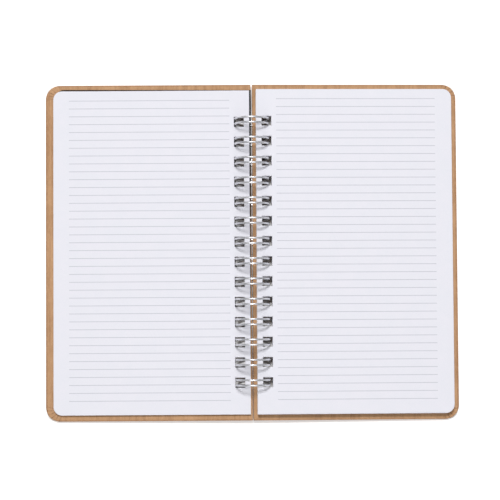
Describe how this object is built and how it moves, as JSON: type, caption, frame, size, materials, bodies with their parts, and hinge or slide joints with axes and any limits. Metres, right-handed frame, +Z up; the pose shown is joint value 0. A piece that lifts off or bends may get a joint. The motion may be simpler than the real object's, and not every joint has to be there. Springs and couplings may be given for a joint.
{
  "type": "wire-bound notebook",
  "caption": "Hard-cover notebook with rounded corners, bound by a twin-loop wire through square holes, lying open with its ruled sheets in two piles.",
  "frame": {"origin": "on the table, under the axis of the wire's loops, half way along the spine: the bottom centre of the open notebook's box", "axes": "+X from the spine towards the back cover, +Y towards the head of the page, +Z up"},
  "size_m": [0.2614, 0.213, 0.022],
  "materials": {
    "nickel_wire": "polished",
    "grey_board": "matte",
    "kraft_wrap": "matte",
    "lining_paper": "matte",
    "black_paper": "matte",
    "ruled_paper": "matte"
  },
  "bodies": {
    "back_half": {"back_board": "grey_board", "back_wrap": "kraft_wrap", "back_lining": "lining_paper", "back_flyleaf": "black_paper", "right_sheets_1": "ruled_paper", "right_sheets_2": "ruled_paper", "right_sheets_3": "ruled_paper", "right_sheets_4": "ruled_paper", "right_sheets_5": "ruled_paper", "right_sheets_6": "ruled_paper", "right_sheets_7": "ruled_paper", "right_sheets_8": "ruled_paper", "right_sheets_9": "ruled_paper", "right_sheets_10": "ruled_paper"},
    "front_half": {"front_board": "grey_board", "front_wrap": "kraft_wrap", "front_lining": "lining_paper", "front_flyleaf": "black_paper", "left_sheets_1": "ruled_paper", "left_sheets_2": "ruled_paper", "left_sheets_3": "ruled_paper", "left_sheets_4": "ruled_paper"},
    "left_leaf": {"left_leaf": "ruled_paper"},
    "right_leaf": {"right_leaf": "ruled_paper"},
    "binding": {"twin_loop_wire": "nickel_wire"}
  },
  "joints": [
    {"name": "front_cover_turn", "type": "hinge", "parent": "back_half", "child": "front_half", "pos_m": [0, 0, 0.01103], "axis": [0, 1, 0], "range_deg": [0, 183.5]},
    {"name": "left_leaf_turn", "type": "hinge", "parent": "front_half", "child": "left_leaf", "pos_m": [0, 0, 0.01103], "axis": [0, 1, 0], "range_deg": [0, 180]},
    {"name": "right_leaf_turn", "type": "hinge", "parent": "back_half", "child": "right_leaf", "pos_m": [0, 0, 0.01103], "axis": [0, -1, 0], "range_deg": [0, 180]},
    {"name": "wire_roll", "type": "hinge", "parent": "back_half", "child": "binding", "pos_m": [0, 0, 0.01103], "axis": [0, 1, 0], "range_deg": [-42, 15]}
  ]
}
